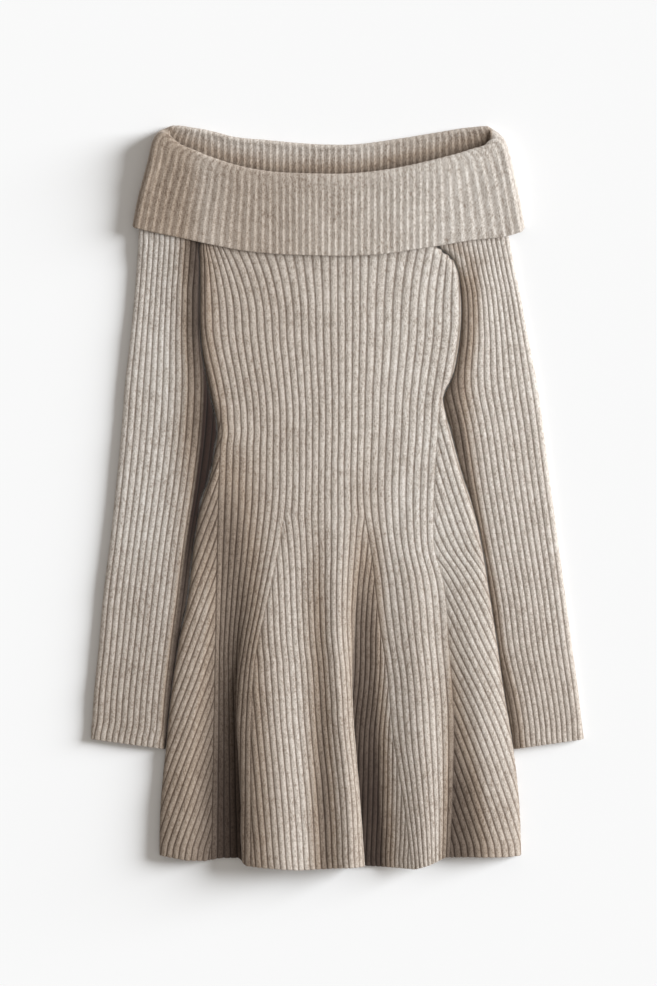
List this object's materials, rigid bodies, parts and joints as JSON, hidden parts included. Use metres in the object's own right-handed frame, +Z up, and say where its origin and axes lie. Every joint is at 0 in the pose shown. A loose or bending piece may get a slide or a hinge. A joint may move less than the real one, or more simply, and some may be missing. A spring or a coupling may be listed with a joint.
{
  "type": "off-shoulder dress",
  "caption": "Rib-knit mini dress with a wide turned-down collar off the shoulders, long narrow sleeves and a flared, folded skirt, laid flat on its back.",
  "frame": {"origin": "on the floor below the middle of the laid-out dress's outline", "axes": "+X to the right when seen from above, +Y from hem to collar, +Z up from the floor"},
  "size_m": [0.5458, 0.8261, 0.0312],
  "materials": {
    "front": "taupe melange rib knit, matt",
    "back": "taupe melange rib knit, matt",
    "sleeve_left": "taupe melange rib knit, matt",
    "sleeve_right": "taupe melange rib knit, matt",
    "collar": "taupe melange rib knit, matt"
  },
  "bodies": {
    "root": {"front": "front", "back": "back", "sleeve_left": "sleeve_left", "sleeve_right": "sleeve_right", "collar": "collar"}
  },
  "joints": []
}
